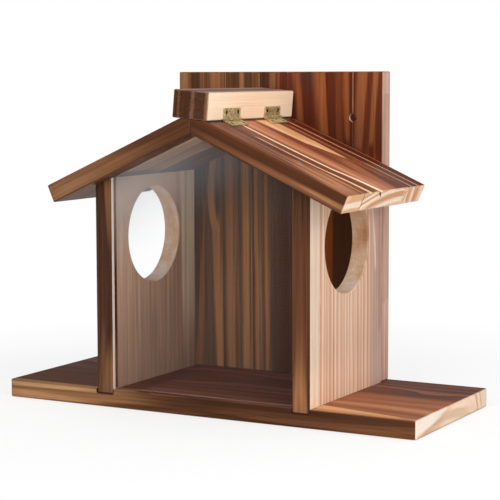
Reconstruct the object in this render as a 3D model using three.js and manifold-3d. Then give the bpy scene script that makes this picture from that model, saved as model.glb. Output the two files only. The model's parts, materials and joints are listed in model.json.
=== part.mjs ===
// Garden feeder box: a gabled feed chamber of thick softwood boards on a long base board, with a
// round way in through each side wall, a clear front pane, a tall back board that hangs the box up,
// and a hinged block along the ridge that closes the fill slot.
//
// Millimetres. +X is to the right seen from the front, +Y to the back and +Z up. The origin is the
// middle of the base board's underside.

import * as THREE from 'three';
import { mergeVertices } from 'three/addons/utils/BufferGeometryUtils.js';
import Module from 'manifold-3d';

const wasm = await Module();
wasm.setup();

// Stock and fits
const stock = 15; // every board
const ease = 0.8; // sanded edge of every board
const glueLine = 0.3; // between slanted faces that meet
const overrun = 2; // how far a cutter passes the face it starts from

// Base board
const baseLength = 370;
const baseDepth = 148;
const baseCorner = 2.5; // rounded corners, seen from above
const dadoDepth = 4; // channels that the side walls stand in
const dadoPlay = 0.2;

// Side walls
const houseWidth = 194; // over both walls
const wallHeight = 165.6; // from the base board's top to a wall's outer top edge
const holeDiameter = 80;
const holeTopMargin = 3.4; // wood left over the hole on the outer face
const holeJointGap = 8.5; // from the hole to the glue joint of the wall's narrow front stave

// Front pane
const paneThickness = 3;
const paneSetback = 4.5; // from the walls' front edges to the pane
const paneGrooveDepth = 4;
const panePlay = 0.3;

// Roof
const roofPitch = 24; // degrees
const roofLength = 148; // along a panel's top face, from the ridge to the eave
const roofOverhang = 13; // in front of the walls
const roofFrontStave = 30; // front strip of each edge-glued panel
const roofRearStave = 33.5; // rear strip

// Back board
const backRise = 31.5; // above the ridge
const backLeftStave = 79;
const backRightStave = 27;
const hangHoleDiameter = 7;
const hangHoleDrop = 38; // below the board's top

// Ridge lid, its seat and the fill slot
const lidTilt = 5; // degrees, down to the right
const lidWidth = 31.5;
const lidHeight = 22;
const lidEndGap = 3.5; // to the back board
const seatDrop = 5.4; // from the ridge down to the seat
const seatGap = 0.3;
const slotLand = 3; // seat left on each long side of the slot
const slotInset = 22; // from each end of the lid

// Butt hinges of the lid
const hingeLength = 26;
const hingeInset = 37.4; // from an end of the lid to a hinge's middle
const leafWidth = 8.6; // from the pin's axis
const leafThickness = 0.9;
const leafCorner = 0.8;
const knuckleCount = 5;
const knuckleRadius = 1.5;
const knuckleGap = 0.3;
const pinRadius = 0.7;
const pinPlay = 0.2;
const pinProud = 0.4; // past each end of the knuckles
const leafScrewRowShare = 0.62; // of the leaf's width
const leafScrewInset = 3.8; // from an end of the leaf

// Screws: head radius, head height, shank radius, length, point and the play in their holes
const woodScrew = {
  headRadius: 3.6,
  headHeight: 2.4,
  shankRadius: 1.8,
  length: 35,
  point: 4,
  play: 0.3,
  sink: 0.4, // below the face
};
const leafScrew = {
  headRadius: 1.8,
  headHeight: 0.9,
  shankRadius: 0.9,
  length: 10,
  point: 2,
  play: 0.2,
  sink: 0.05,
};
const screwInset = 30; // from the ends of a wall's foot, and above the foot at the back
const topScrewInset = 20; // below a wall's outer top edge
const roofScrewShares = [0.4, 0.8]; // of half the house's width

// Faces to a full circle
const holeFaces = 64;
const boreFaces = 24;
const knuckleFaces = 20;
const screwFaces = 12;
const cornerFaces = 16;

// Places that follow from the sizes
const baseTop = stock;
const front = -baseDepth / 2;
const back = baseDepth / 2;
const backFace = back - stock;
const wallOuter = houseWidth / 2;
const wallInner = wallOuter - stock;
const wallMiddle = wallOuter - stock / 2;
const wallFoot = baseTop - dadoDepth;
const wallTop = baseTop + wallHeight;
const pitch = THREE.MathUtils.degToRad(roofPitch);
const ridgeUnderside = wallTop + glueLine + wallOuter * Math.tan(pitch);
const ridge = ridgeUnderside + stock / Math.cos(pitch);
const roofFront = front - roofOverhang;
const backTop = ridge + backRise;
const tilt = THREE.MathUtils.degToRad(lidTilt);
const seatLeft = -seatDrop / (Math.tan(pitch) + Math.tan(tilt));
const seatRight = seatDrop / (Math.tan(pitch) - Math.tan(tilt));
const lidBack = backFace - lidEndGap;

// The pin lies in the corner between the lid's right face and the right roof slope, as far from the
// one as from the other.
const pinStand = knuckleRadius + seatGap;
const pinRise = pinStand / Math.tan((Math.PI / 2 + pitch - tilt) / 2);
const pinAxis = new THREE.Vector3(
  seatRight + pinStand * Math.cos(tilt) + pinRise * Math.sin(tilt),
  0,
  ridge - seatRight * Math.tan(pitch) - pinStand * Math.sin(tilt) + pinRise * Math.cos(tilt),
);
const hingePlaces = [roofFront + hingeInset, lidBack - hingeInset];

// Height of a face that slopes down from the ridge to both sides
function slopeHeight(top, x) {
  return top - Math.abs(x) * Math.tan(pitch);
}

// Closed mesh to solid, placed by a matrix
function solidOf(geometry, matrix = new THREE.Matrix4()) {
  const bare = geometry.clone();
  bare.deleteAttribute('normal');
  bare.deleteAttribute('uv');
  const merged = mergeVertices(bare.applyMatrix4(matrix));
  const triangles = [];
  const index = merged.index.array;
  for (let i = 0; i < index.length; i += 3) {
    const [a, b, c] = [index[i], index[i + 1], index[i + 2]];
    if (a !== b && b !== c && c !== a) triangles.push(a, b, c);
  }
  const vertProperties = merged.attributes.position.array;
  const triVerts = new Uint32Array(triangles);
  return new wasm.Manifold(new wasm.Mesh({ numProp: 3, vertProperties, triVerts }));
}

// Solid back to a mesh geometry
function geometryOf(solid) {
  const mesh = solid.getMesh();
  const geometry = new THREE.BufferGeometry();
  geometry.setAttribute('position', new THREE.BufferAttribute(mesh.vertProperties, 3));
  geometry.setIndex(new THREE.BufferAttribute(mesh.triVerts, 1));
  geometry.computeVertexNormals();
  return geometry;
}

// Box between two corners
function block(low, high, matrix) {
  const size = high.map((value, i) => value - low[i]);
  const geometry = new THREE.BoxGeometry(...size);
  geometry.translate(...low.map((value, i) => value + size[i] / 2));
  return solidOf(geometry, matrix);
}

// Round bar through a point, along a direction
function bar(radius, length, faces, centre, direction) {
  const turn = new THREE.Quaternion().setFromUnitVectors(new THREE.Vector3(0, 1, 0), direction);
  const matrix = new THREE.Matrix4().compose(centre, turn, new THREE.Vector3(1, 1, 1));
  return solidOf(new THREE.CylinderGeometry(radius, radius, length, faces), matrix);
}

// Part of a solid between two planes across an axis
function slice(solid, axis, from, to) {
  const box = solid.boundingBox();
  const low = box.min.map((value) => value - overrun);
  const high = box.max.map((value) => value + overrun);
  low[axis] = from ?? low[axis];
  high[axis] = to ?? high[axis];
  return solid.intersect(block(low, high));
}

// Outline with its corners cut off by the sanded edge
function easedOutline(points) {
  const corners = points.map((point) => new THREE.Vector2(...point));
  const outline = [];
  corners.forEach((corner, i) => {
    for (const step of [-1, 1]) {
      const neighbour = corners[(i + step + corners.length) % corners.length];
      outline.push(corner.clone().add(neighbour.clone().sub(corner).setLength(ease)));
    }
  });
  return new THREE.Shape(outline);
}

// Rectangle with round corners
function roundedRectangle(x0, y0, x1, y1, radius) {
  const shape = new THREE.Shape();
  shape.absarc(x1 - radius, y1 - radius, radius, 0, Math.PI / 2);
  shape.absarc(x0 + radius, y1 - radius, radius, Math.PI / 2, Math.PI);
  shape.absarc(x0 + radius, y0 + radius, radius, Math.PI, Math.PI * 1.5);
  shape.absarc(x1 - radius, y0 + radius, radius, Math.PI * 1.5, Math.PI * 2);
  shape.closePath();
  return shape;
}

// Directions that a shape's own x, its own y and the extrusion run in
const upright = new THREE.Matrix4();
const acrossDepth = new THREE.Matrix4().makeBasis(
  new THREE.Vector3(1, 0, 0),
  new THREE.Vector3(0, 0, 1),
  new THREE.Vector3(0, -1, 0),
);
const acrossWidth = new THREE.Matrix4().makeBasis(
  new THREE.Vector3(0, 1, 0),
  new THREE.Vector3(0, 0, 1),
  new THREE.Vector3(1, 0, 0),
);

// Board of an outline, with sanded edges on both faces; it starts at a place along the extrusion
function board(shape, thickness, directions, start, curveSegments = 1) {
  const geometry = new THREE.ExtrudeGeometry(shape, {
    depth: thickness - 2 * ease,
    curveSegments,
    bevelSize: ease,
    bevelThickness: ease,
    bevelOffset: -ease,
    bevelSegments: 1,
  });
  geometry.translate(0, 0, start + ease);
  return solidOf(geometry, directions);
}

// Plain extrusion without sanded edges
function prism(shape, thickness, directions, start, curveSegments = 1) {
  const options = { depth: thickness, curveSegments, bevelEnabled: false };
  const geometry = new THREE.ExtrudeGeometry(shape, options);
  geometry.translate(0, 0, start);
  return solidOf(geometry, directions);
}

// Screw with its head's top at the origin and its point down its own y axis
function screwGeometry(size) {
  const profile = [
    [0, -size.length],
    [size.shankRadius, size.point - size.length],
    [size.shankRadius, -size.headHeight],
    [size.headRadius, 0],
    [0, 0],
  ];
  return new THREE.LatheGeometry(profile.map((point) => new THREE.Vector2(...point)), screwFaces);
}

// Hole for that screw, open above its head
function screwHole(size, matrix) {
  const shank = size.shankRadius + size.play;
  const head = size.headRadius + size.play;
  const profile = [
    [0, -size.length - size.play],
    [shank, size.point - size.length],
    [shank, -size.headHeight],
    [head, 0],
    [head, overrun],
    [0, overrun],
  ];
  const geometry = new THREE.LatheGeometry(profile.map((point) => new THREE.Vector2(...point)), screwFaces);
  return solidOf(geometry, matrix);
}

// Matrix that puts a screw through a point of a face, sunk into it
function screwPlace(point, direction, size) {
  const turn = new THREE.Quaternion().setFromUnitVectors(new THREE.Vector3(0, -1, 0), direction);
  const head = point.clone().addScaledVector(direction, size.sink);
  return new THREE.Matrix4().compose(head, turn, new THREE.Vector3(1, 1, 1));
}

// Takes the holes of screws out of a solid
function drilled(solid, places, size) {
  return places.reduce((rest, place) => rest.subtract(screwHole(size, place)), solid);
}

// Wood screws, by name
const woodScrews = new Map();
const upwards = new THREE.Vector3(0, 0, 1);
const forwards = new THREE.Vector3(0, -1, 0);

function addWoodScrew(name, x, y, z, direction) {
  woodScrews.set(name, screwPlace(new THREE.Vector3(x, y, z), direction, woodScrew));
}

for (const [side, word] of [[-1, 'left'], [1, 'right']]) {
  // From below into a wall's foot
  addWoodScrew(`screw_base_to_${word}_wall_front`, side * wallMiddle, front + screwInset, 0, upwards);
  addWoodScrew(`screw_base_to_${word}_wall_rear`, side * wallMiddle, backFace - screwInset, 0, upwards);
  // From behind into a wall's rear edge
  for (const [z, place] of [[baseTop + screwInset, 'lower'], [wallTop - topScrewInset, 'upper']]) {
    addWoodScrew(`screw_back_to_${word}_wall_${place}`, side * wallMiddle, back, z, forwards);
  }
  // From behind into the middle of a roof panel's rear edge
  for (const [share, place] of [[roofScrewShares[0], 'inner'], [roofScrewShares[1], 'outer']]) {
    const x = side * share * wallOuter;
    const middle = (slopeHeight(ridge, x) + slopeHeight(ridgeUnderside, x)) / 2;
    addWoodScrew(`screw_back_to_${word}_roof_${place}`, x, back, middle, forwards);
  }
}

// From below into each stave of the back board
const leftJoint = -wallOuter + backLeftStave;
const rightJoint = wallOuter - backRightStave;
const backStaves = [
  ['left', undefined, leftJoint, (leftJoint - wallOuter) / 2],
  ['middle', leftJoint, rightJoint, (leftJoint + rightJoint) / 2],
  ['right', rightJoint, undefined, (rightJoint + wallOuter) / 2],
];
for (const [word, , , middle] of backStaves) {
  addWoodScrew(`screw_base_to_back_${word}`, middle, backFace + stock / 2, 0, upwards);
}
const woodScrewPlaces = [...woodScrews.values()];

// Scene graph: the lid turns about the pins, so its group has its origin on their axis, and the fixed
// leaves lie in a group that is turned to the right roof slope about the same axis
const feeder = new THREE.Group();
const lidGroup = new THREE.Group();
lidGroup.position.copy(pinAxis);
lidGroup.rotation.y = tilt;
const slopeGroup = new THREE.Group();
slopeGroup.position.copy(pinAxis);
slopeGroup.rotation.y = pitch;
feeder.add(lidGroup, slopeGroup);
feeder.updateMatrixWorld();

function addPart(name, geometry, material, group = feeder) {
  const mesh = new THREE.Mesh(geometry, material);
  mesh.name = name;
  group.add(mesh);
  return mesh;
}

function wood(color) {
  return new THREE.MeshStandardMaterial({ color, roughness: 0.7, metalness: 0 });
}

function metal(color, roughness) {
  return new THREE.MeshStandardMaterial({ color, roughness, metalness: 1 });
}

// Base board with a stopped channel for each wall
function baseBoard() {
  const shape = roundedRectangle(-baseLength / 2, front, baseLength / 2, back, baseCorner);
  let solid = board(shape, stock, upright, 0, cornerFaces / 4);
  for (const side of [-1, 1]) {
    const reach = stock / 2 + dadoPlay;
    const low = [side * wallMiddle - reach, front - overrun, wallFoot];
    const high = [side * wallMiddle + reach, backFace, baseTop + overrun];
    solid = solid.subtract(block(low, high));
  }
  addPart('base_board', geometryOf(drilled(solid, woodScrewPlaces, woodScrew)), wood(0x80502f));
}

// Side wall of two edge-glued staves, with a round hole, a pane groove and a top cut to the roof's slope
function sideWall(side, name, color) {
  const shape = easedOutline([
    [front, wallFoot],
    [backFace, wallFoot],
    [backFace, ridge],
    [front, ridge],
  ]);
  const hole = new THREE.Path();
  const radius = holeDiameter / 2;
  const holeY = (front + backFace) / 2;
  hole.absarc(holeY, wallTop - holeTopMargin - radius, radius, 0, Math.PI * 2, true);
  shape.holes.push(hole);
  let solid = board(shape, stock, acrossWidth, side * wallMiddle - stock / 2, holeFaces / 2);
  const over = new THREE.Shape([
    new THREE.Vector2(0, ridgeUnderside - glueLine),
    new THREE.Vector2(side * baseLength, slopeHeight(ridgeUnderside, baseLength) - glueLine),
    new THREE.Vector2(side * baseLength, ridge + overrun),
    new THREE.Vector2(0, ridge + overrun),
  ]);
  solid = solid.subtract(prism(over, baseDepth + 2 * overrun, acrossDepth, front - overrun));
  const grooveEnds = [side * (wallInner - overrun), side * (wallInner + paneGrooveDepth)];
  const grooveX = [Math.min(...grooveEnds), Math.max(...grooveEnds)];
  const grooveY = [front + paneSetback - panePlay, front + paneSetback + paneThickness + panePlay];
  const groove = block([grooveX[0], grooveY[0], wallFoot - overrun], [grooveX[1], grooveY[1], ridge]);
  solid = drilled(solid.subtract(groove), woodScrewPlaces, woodScrew);
  const joint = holeY - radius - holeJointGap;
  addPart(`${name}_front_stave`, geometryOf(slice(solid, 1, undefined, joint)), wood(color));
  addPart(name, geometryOf(slice(solid, 1, joint, undefined)), wood(color));
}

// Clear pane that slides down the grooves, with a gabled top
function frontPane() {
  const halfWidth = wallInner + paneGrooveDepth - panePlay;
  const top = ridgeUnderside - panePlay;
  const shape = new THREE.Shape([
    new THREE.Vector2(-halfWidth, baseTop),
    new THREE.Vector2(halfWidth, baseTop),
    new THREE.Vector2(halfWidth, slopeHeight(top, halfWidth)),
    new THREE.Vector2(0, top),
    new THREE.Vector2(-halfWidth, slopeHeight(top, halfWidth)),
  ]);
  const solid = prism(shape, paneThickness, acrossDepth, -(front + paneSetback + paneThickness));
  const material = new THREE.MeshStandardMaterial({
    color: 0xdde6ec,
    roughness: 0.05,
    metalness: 0,
    transparent: true,
    opacity: 0.3,
  });
  addPart('front_pane', geometryOf(solid), material);
}

// Back board of three edge-glued staves, with two holes to hang it by: one on the right joint and one
// as far from the middle on the left
function backBoard() {
  const shape = easedOutline([
    [-wallOuter, baseTop],
    [wallOuter, baseTop],
    [wallOuter, backTop],
    [-wallOuter, backTop],
  ]);
  let solid = board(shape, stock, acrossDepth, -back);
  const length = stock + 2 * overrun;
  for (const side of [-1, 1]) {
    const centre = new THREE.Vector3(side * rightJoint, backFace + stock / 2, backTop - hangHoleDrop);
    solid = solid.subtract(bar(hangHoleDiameter / 2, length, boreFaces, centre, forwards));
  }
  solid = drilled(solid, woodScrewPlaces, woodScrew);
  for (const [word, from, to] of backStaves) {
    addPart(`back_board_${word}_stave`, geometryOf(slice(solid, 0, from, to)), wood(0x6b3f2b));
  }
}

// Screws of a leaf, in the leaf's own frame: x from the pin, y along it, z off the face it lies on
function leafScrewPlaces(facing) {
  const surface = facing * (leafThickness - knuckleRadius);
  return [-1, 1].map((end) => {
    const y = end * (hingeLength / 2 - leafScrewInset);
    const point = new THREE.Vector3(leafScrewRowShare * leafWidth, y, surface);
    return screwPlace(point, new THREE.Vector3(0, 0, -facing), leafScrew);
  });
}

// Frames of the leaves in their groups, one for each hinge; the moving leaf stands up from the fixed one
const standingUp = new THREE.Matrix4().makeRotationY(-Math.PI / 2);
const fixedLeafFrames = hingePlaces.map((y) => new THREE.Matrix4().makeTranslation(0, y, 0));
const movingLeafFrames = fixedLeafFrames.map((frame) => frame.clone().multiply(standingUp));

// Roof panels, mitred at the ridge and cut flat for the lid, each of three edge-glued staves
function roof() {
  const drop = roofLength * Math.sin(pitch);
  const reach = roofLength * Math.cos(pitch);
  const depth = backFace - roofFront;
  const frontJoint = roofFront + roofFrontStave;
  const rearJoint = backFace - roofRearStave;
  const roofStaves = [
    ['front', undefined, frontJoint, 0x74472e],
    ['middle', frontJoint, rearJoint, 0x9a6246],
    ['rear', rearJoint, undefined, 0x6f4234],
  ];
  const slotLow = [seatLeft + slotLand, roofFront + slotInset];
  const slotHigh = [seatRight - slotLand, lidBack - slotInset];
  const slotShape = roundedRectangle(...slotLow, ...slotHigh, (slotHigh[0] - slotLow[0]) / 2);
  const slot = prism(slotShape, ridge, upright, baseTop, cornerFaces / 4);
  const seatPlane = new THREE.Matrix4().makeTranslation(0, 0, ridge - seatDrop);
  seatPlane.multiply(new THREE.Matrix4().makeRotationY(tilt));
  const seatLow = [-baseLength, roofFront - overrun, 0];
  const seatHigh = [baseLength, backFace + overrun, baseLength];
  const aboveSeat = block(seatLow, seatHigh, seatPlane);
  for (const [side, word] of [[-1, 'left'], [1, 'right']]) {
    const shape = easedOutline([
      [0, ridgeUnderside],
      [side * (reach - stock * Math.sin(pitch)), ridge - drop - stock * Math.cos(pitch)],
      [side * reach, ridge - drop],
      [0, ridge],
    ]);
    let solid = board(shape, depth, acrossDepth, -backFace);
    solid = solid.subtract(aboveSeat).subtract(slot);
    solid = drilled(solid, woodScrewPlaces, woodScrew);
    for (const frame of fixedLeafFrames) {
      const leafPlace = slopeGroup.matrix.clone().multiply(frame);
      const places = leafScrewPlaces(1).map((place) => leafPlace.clone().multiply(place));
      solid = drilled(solid, places, leafScrew);
    }
    for (const [place, from, to, color] of roofStaves) {
      addPart(`${word}_roof_${place}_stave`, geometryOf(slice(solid, 1, from, to)), wood(color));
    }
  }
}

// Lid block in the lid's own frame: x is square to its right face, z runs up that face
function ridgeLid() {
  const right = -pinStand;
  const bottom = seatGap - pinRise;
  const shape = easedOutline([
    [right - lidWidth, bottom],
    [right, bottom],
    [right, bottom + lidHeight],
    [right - lidWidth, bottom + lidHeight],
  ]);
  let solid = board(shape, lidBack - roofFront, acrossDepth, -lidBack);
  for (const frame of movingLeafFrames) {
    const places = leafScrewPlaces(-1).map((place) => frame.clone().multiply(place));
    solid = drilled(solid, places, leafScrew);
  }
  addPart('ridge_lid', geometryOf(solid), wood(0xc9a98a), lidGroup);
}

// Hinge leaf: a plate with two countersunk holes and every other knuckle of the hinge
function hingeLeaf(facing, firstKnuckle) {
  const low = Math.min(-facing * knuckleRadius, facing * (leafThickness - knuckleRadius));
  const start = knuckleRadius + knuckleGap;
  const half = hingeLength / 2;
  const shape = roundedRectangle(start, -half, leafWidth, half, leafCorner);
  let solid = prism(shape, leafThickness, upright, low, cornerFaces / 4);
  const pitchOfKnuckles = hingeLength / knuckleCount;
  for (let i = firstKnuckle; i < knuckleCount; i += 2) {
    const from = -half + i * pitchOfKnuckles + (i > 0 ? knuckleGap / 2 : 0);
    const to = -half + (i + 1) * pitchOfKnuckles - (i < knuckleCount - 1 ? knuckleGap / 2 : 0);
    const centre = new THREE.Vector3(0, (from + to) / 2, 0);
    solid = solid.add(bar(knuckleRadius, to - from, knuckleFaces, centre, forwards));
    solid = solid.add(block([0, from, low], [start + leafCorner, to, low + leafThickness]));
  }
  const boreLength = hingeLength + 2 * overrun;
  const bore = bar(pinRadius + pinPlay, boreLength, knuckleFaces, new THREE.Vector3(), forwards);
  return geometryOf(drilled(solid.subtract(bore), leafScrewPlaces(facing), leafScrew));
}

function place(mesh, matrix) {
  matrix.decompose(mesh.position, mesh.quaternion, mesh.scale);
}

// Both hinges, with their pins and screws
function hinges() {
  const kinds = [
    { word: 'fixed', group: slopeGroup, frames: fixedLeafFrames, facing: 1, firstKnuckle: 0 },
    { word: 'lid', group: lidGroup, frames: movingLeafFrames, facing: -1, firstKnuckle: 1 },
  ];
  ['front', 'rear'].forEach((where, i) => {
    for (const kind of kinds) {
      const frame = kind.frames[i];
      const geometry = hingeLeaf(kind.facing, kind.firstKnuckle);
      const leafName = `${where}_hinge_${kind.word}_leaf`;
      place(addPart(leafName, geometry, metal(0x8d7f57, 0.45), kind.group), frame);
      leafScrewPlaces(kind.facing).forEach((screw, j) => {
        const name = `${where}_hinge_${kind.word}_screw_${j + 1}`;
        const body = geometryOf(solidOf(screwGeometry(leafScrew)));
        place(addPart(name, body, metal(0x7c6e4b, 0.4), kind.group), frame.clone().multiply(screw));
      });
    }
    const pinLength = hingeLength + 2 * pinProud;
    const pin = geometryOf(bar(pinRadius, pinLength, knuckleFaces, new THREE.Vector3(), forwards));
    place(addPart(`${where}_hinge_pin`, pin, metal(0x84764f, 0.4), slopeGroup), fixedLeafFrames[i]);
  });
}

function woodScrewParts() {
  for (const [name, matrix] of woodScrews) {
    place(addPart(name, geometryOf(solidOf(screwGeometry(woodScrew))), metal(0xb8bbbe, 0.35)), matrix);
  }
}

baseBoard();
sideWall(-1, 'left_side_wall', 0x7d5238);
sideWall(1, 'right_side_wall', 0xc49c80);
frontPane();
backBoard();
roof();
ridgeLid();
hinges();
woodScrewParts();

export default feeder;
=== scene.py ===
"""Feeder box: the finish of its boards, its clear pane, its brass hinges and its screws."""

import json
import math
from functools import partial, partialmethod

import bmesh
import bpy
from mathutils import Matrix, Vector

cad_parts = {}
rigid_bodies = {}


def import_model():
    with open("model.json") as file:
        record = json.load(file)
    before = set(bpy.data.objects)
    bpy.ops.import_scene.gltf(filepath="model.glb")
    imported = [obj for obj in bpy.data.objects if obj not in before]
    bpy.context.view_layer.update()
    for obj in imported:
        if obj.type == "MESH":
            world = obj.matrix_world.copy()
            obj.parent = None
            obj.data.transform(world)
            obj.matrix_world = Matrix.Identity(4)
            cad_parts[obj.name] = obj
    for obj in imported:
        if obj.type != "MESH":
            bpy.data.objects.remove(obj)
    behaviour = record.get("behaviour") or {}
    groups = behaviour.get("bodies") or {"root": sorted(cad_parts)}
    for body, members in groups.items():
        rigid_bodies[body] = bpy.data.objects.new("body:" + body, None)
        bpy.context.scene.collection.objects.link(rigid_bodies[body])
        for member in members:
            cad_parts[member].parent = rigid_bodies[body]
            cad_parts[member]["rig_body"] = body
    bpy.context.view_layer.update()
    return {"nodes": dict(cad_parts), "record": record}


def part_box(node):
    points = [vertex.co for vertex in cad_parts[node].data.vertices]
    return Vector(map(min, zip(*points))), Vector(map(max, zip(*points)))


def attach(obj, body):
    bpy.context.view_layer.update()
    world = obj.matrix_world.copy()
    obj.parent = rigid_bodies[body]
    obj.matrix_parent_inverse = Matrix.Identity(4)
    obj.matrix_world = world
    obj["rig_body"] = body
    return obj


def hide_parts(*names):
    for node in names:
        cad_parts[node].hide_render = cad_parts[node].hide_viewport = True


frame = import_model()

# Driving values, in metres and radians
PITCH = math.radians(24)
LID_TILT = math.radians(5)
ENTRY_RADIUS = 0.040
HANG_RADIUS = 0.0035
MM = 1000.0  # millimetres in a metre; the grain is written in millimetres
WOOD_GLOSS = 0.12
WOOD_RELIEF = 0.0005
GLUED_EDGE = 0.0001  # softening of the arrises of a glued stave
CLEAN_WITHIN = 1e-6  # vertices closer than this are one
FLAT_WITHIN = math.radians(0.6)
SMOOTH_WITHIN = math.radians(32)

ORIGIN, X, Y, Z = Vector((0, 0, 0)), Vector((1, 0, 0)), Vector((0, 1, 0)), Vector((0, 0, 1))


# Places taken from the frame

def opening_middle(name):
    """Middle of an opening's box."""
    opening = next(row for row in frame["record"]["physics"]["openings"] if row["name"] == name)
    low, high = opening["box_m"]
    return (Vector(low) + Vector(high)) / 2


ENTRY_CENTRE = opening_middle("right_entry_hole")
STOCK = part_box("base_board")[1].z
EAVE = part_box("right_roof_middle_stave")
REACH = EAVE[1].x
RIDGE = Vector((0, 0, EAVE[0].z + STOCK * math.cos(PITCH) + REACH * math.tan(PITCH)))
LID_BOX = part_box("ridge_lid")
LID_MIDDLE = (LID_BOX[0] + LID_BOX[1]) / 2
LID_HALF = (LID_BOX[1].z - LID_BOX[0].z) / 2
HANG_CENTRES = [opening_middle(side + "_hang_hole") for side in ("left", "right")]
BACK_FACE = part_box("back_board_middle_stave")[0].y
WALL_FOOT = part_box("right_side_wall")[0].z
LIP = -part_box("front_pane")[0].y

# Places in millimetres, for the grain
HANG_Z = HANG_CENTRES[0].z * MM
BACK_JOINTS = tuple(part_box("back_board_middle_stave")[end].x * MM for end in (0, 1))
BACK_SHADE_LOW, BACK_SHADE_HIGH = HANG_Z - 34, HANG_Z + 36
ROOF_LINE = RIDGE.z * MM
WALL_MIDDLE = (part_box("right_side_wall")[0].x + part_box("right_side_wall")[1].x) / 2 * MM
DADO_FLOOR = WALL_FOOT * MM
FOOT_SHADE_REACH = WALL_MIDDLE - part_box("right_side_wall")[0].x * MM + 0.1  # how far the painted shade reaches to the sides of a wall's foot
BASE_TOP = 16  # just past the base board's top, so that the painted shade ends there


# Colours

def srgb(text):
    """Linear colour of an sRGB hex code."""
    channels = [int(text[i : i + 2], 16) / 255 for i in (0, 2, 4)]
    linear = [level / 12.92 if level <= 0.04045 else ((level + 0.055) / 1.055) ** 2.4 for level in channels]
    return (*linear, 1.0)


def palette(tones, *places):
    """Stops of a colour ramp; the first tone stands at 0, the last at 1 and the others at the places."""
    return list(zip((0.0, *places, 1.0), tones.split()))


# Stops of each palette, from its darkest tone to its palest line
SCORCHED = palette("1d0c05 431e0e 6b3519 8f5030 b57148 d99b6c f8d3aa", 0.18, 0.36, 0.52, 0.66, 0.8)
PLUM = palette("20120f 43271f 684134 8a5a48 b88569 eac3a0", 0.2, 0.4, 0.58, 0.76)
UMBER = palette("180c06 3b2212 613a20 845431 a87849 dcb487", 0.2, 0.4, 0.58, 0.76)
RUSSET = palette("1e0903 421606 6c2d12 93491f b9713e dfa674", 0.2, 0.4, 0.58, 0.76)
RAW = palette("a66a4c c58d6e dcab8c ecc6a9 f6dac2 fff0e0", 0.22, 0.42, 0.6, 0.78)
CREAM = palette("c69a78 e2bfa2 f1d6be f8e8d6 fff6ec", 0.3, 0.55, 0.8)
PEACH = palette("d29c76 eec39e fddcb9 fee8d0 fff4e6", 0.3, 0.55, 0.8)
# Inside the chamber: brown wood greyed by a painted reflection of the pane
DUSK = palette("140c08 2f211a 4c3729 6c4c36 916a49 c49a72", 0.2, 0.4, 0.58, 0.76)
ROSE = palette("6f4f45 97735f bb9583 d6b6a6 eed8ca", 0.25, 0.5, 0.75)
BUFF = palette("6e462c a87450 c99a76 dbb99c ece0da", 0.28, 0.5, 0.74)
FAWN = palette("8e6c58 a88671 d2ac90 e8c6a4 f4d8b8 fcead0", 0.2, 0.38, 0.6, 0.8)


# Shader nodes written as sums

def feed(tree, socket, value):
    """Links a wire to a socket, or sets the socket to a plain value."""
    if isinstance(value, Wire):
        tree.links.new(value.socket, socket)
    else:
        socket.default_value = value


class Wire:
    """One output of a node tree; arithmetic on it adds math nodes."""

    def __init__(self, tree, socket):
        self.tree = tree
        self.socket = socket

    def math(self, operation, *others, clamp=False):
        node = self.tree.nodes.new("ShaderNodeMath")
        node.operation = operation
        node.use_clamp = clamp
        for socket, value in zip(node.inputs, (self, *others)):
            feed(self.tree, socket, value)
        return Wire(self.tree, node.outputs[0])

    __add__ = __radd__ = partialmethod(math, "ADD")
    __sub__ = partialmethod(math, "SUBTRACT")
    __mul__ = __rmul__ = partialmethod(math, "MULTIPLY")
    __truediv__ = partialmethod(math, "DIVIDE")
    __neg__ = partialmethod(math, "MULTIPLY", -1.0)
    __abs__ = partialmethod(math, "ABSOLUTE")
    least = partialmethod(math, "MINIMUM")
    most = partialmethod(math, "MAXIMUM")
    inverse = partialmethod(math, "MULTIPLY_ADD", -1.0, 1.0)
    clamped = partialmethod(math, "ADD", 0.0, clamp=True)

    def step(self, low, high, smooth=True):
        """0 below low, 1 above high, and between them a smooth or straight rise."""
        node = self.tree.nodes.new("ShaderNodeMapRange")
        node.interpolation_type = "SMOOTHSTEP" if smooth else "LINEAR"
        for name, value in (("Value", self), ("From Min", low), ("From Max", high)):
            feed(self.tree, node.inputs[name], value)
        return Wire(self.tree, node.outputs["Result"])


SEED_STEPS = (7.31, 3.17, -5.73)


def noise(x, y, z, detail=2.0, roughness=0.5, seed=0.0):
    """Noise about 0, from -0.5 to 0.5, at a place written in its own wave lengths."""
    tree = x.tree
    place = tree.nodes.new("ShaderNodeCombineXYZ")
    for socket, value, step in zip(place.inputs, (x, y, z), SEED_STEPS):
        feed(tree, socket, value + seed * step)
    node = tree.nodes.new("ShaderNodeTexNoise")
    node.noise_dimensions = "3D"
    for name, value in (("Scale", 1.0), ("Detail", detail), ("Roughness", roughness)):
        node.inputs[name].default_value = value
    tree.links.new(place.outputs[0], node.inputs["Vector"])
    return Wire(tree, node.outputs[0]) - 0.5


def distance(x, y):
    """Distance of two coordinates from 0."""
    return (x * x + y * y).math("SQRT")


def tree_of(*values):
    """Node tree of the first wire among some values."""
    return next(value.tree for value in values if isinstance(value, Wire))


def mix(low, high, share, mode="MIX"):
    """Mix of two colours, each a wire or a linear colour."""
    tree = tree_of(low, high, share)
    node = tree.nodes.new("ShaderNodeMix")
    node.data_type = "RGBA"
    node.blend_type = mode
    for number, value in ((0, share), (6, low), (7, high)):
        feed(tree, node.inputs[number], value)
    return Wire(tree, node.outputs[2])


def ramp(value, stops):
    """Colour ramp over hex codes."""
    node = value.tree.nodes.new("ShaderNodeValToRGB")
    elements = node.color_ramp.elements
    while len(elements) < len(stops):
        elements.new(0.5)
    for element, (place, tone) in zip(elements, stops):
        element.position = place
        element.color = srgb(tone)
    feed(value.tree, node.inputs[0], value)
    return Wire(value.tree, node.outputs[0])


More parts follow.
